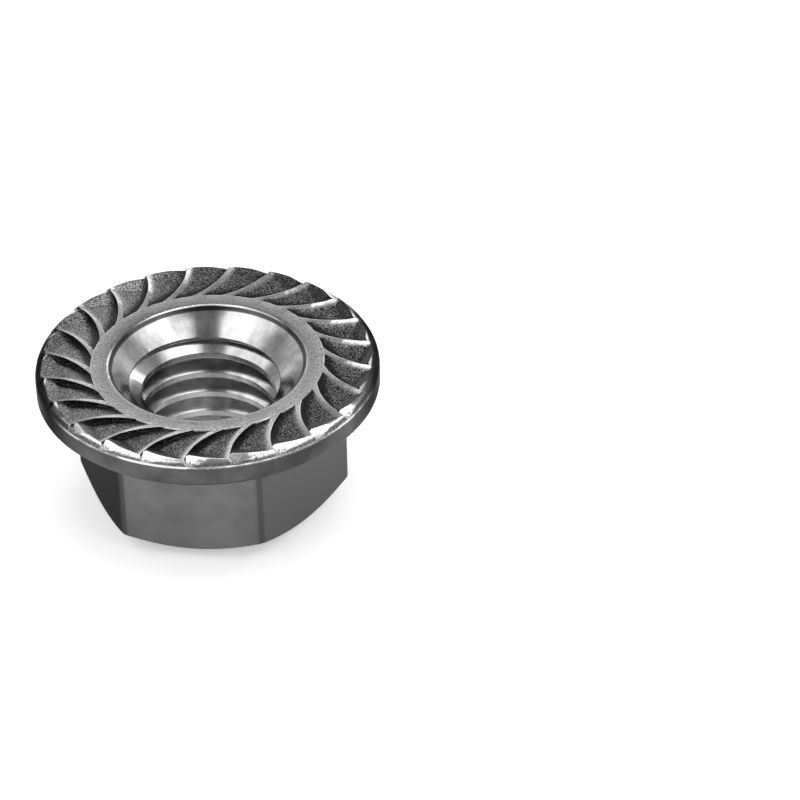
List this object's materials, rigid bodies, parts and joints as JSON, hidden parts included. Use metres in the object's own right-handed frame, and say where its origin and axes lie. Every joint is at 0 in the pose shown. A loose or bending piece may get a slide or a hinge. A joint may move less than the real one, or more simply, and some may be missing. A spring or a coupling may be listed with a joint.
{
  "type": "serrated flange nut",
  "caption": "Hexagon nut with a round collar whose bearing face has curved ratchet teeth round a countersunk threaded bore.",
  "frame": {"origin": "centre of the hexagon end's seat, on the thread's axis, at the lowest point of the nut", "axes": "+Z along the thread's axis from the hexagon end to the serrated face; two flats face -Y and +Y"},
  "size_m": [0.0214, 0.0214, 0.0099],
  "materials": {
    "stainless_steel": "cold-formed stainless steel, tumbled bright on the edges and duller in the pockets"
  },
  "bodies": {
    "root": {"flange_nut": "stainless_steel"}
  },
  "joints": []
}
